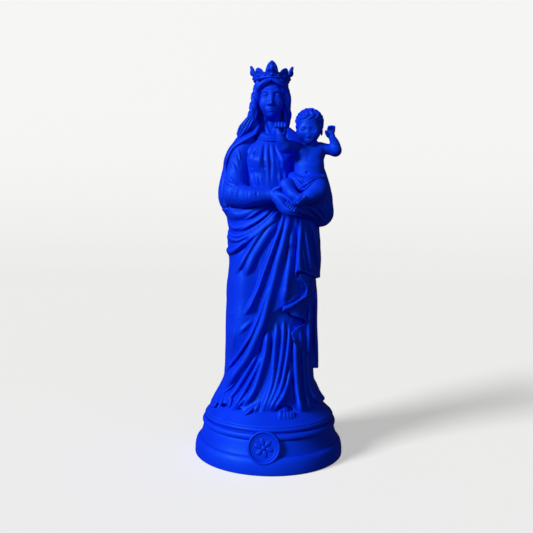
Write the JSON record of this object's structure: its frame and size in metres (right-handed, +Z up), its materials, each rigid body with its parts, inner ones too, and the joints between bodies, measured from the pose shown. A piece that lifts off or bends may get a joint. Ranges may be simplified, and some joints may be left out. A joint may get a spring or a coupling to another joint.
{
  "type": "madonna statue",
  "caption": "Standing crowned mother with a child on one arm, long draped mantle over a pleated gown, on a round moulded plinth with a plain medallion.",
  "frame": {"origin": "centre of the plinth's underside", "axes": "+Z up, the figure faces -Y, +X is the side that carries the child"},
  "size_m": [0.1154, 0.1154, 0.3],
  "materials": {
    "blue_paint": "cast resin under one coat of matte ultramarine paint",
    "felt": "dark blue wool felt",
    "steel": "zinc plated steel",
    "dowel_wood": "plain beech"
  },
  "bodies": {
    "root": {"plinth": "blue_paint", "base_felt": "felt", "ballast_weight": "steel", "medallion": "blue_paint", "tie_rod": "steel", "tie_washer": "steel", "tie_nut": "steel", "gown": "blue_paint", "mantle_back": "blue_paint", "mantle_wrap": "blue_paint", "mantle_cascade": "blue_paint", "collar": "blue_paint", "right_sleeve": "blue_paint", "right_hand": "blue_paint", "left_sleeve": "blue_paint", "right_foot": "blue_paint", "left_foot": "blue_paint", "head": "blue_paint", "hair": "blue_paint", "crown": "blue_paint", "crown_finials": "blue_paint", "neck_dowel": "dowel_wood", "wrist_dowel": "dowel_wood", "child_torso": "blue_paint", "child_head": "blue_paint", "child_hair": "blue_paint", "child_loincloth": "blue_paint", "child_right_arm": "blue_paint", "child_left_arm": "blue_paint", "child_right_leg": "blue_paint", "child_left_leg": "blue_paint", "child_dowel": "dowel_wood"}
  },
  "joints": []
}
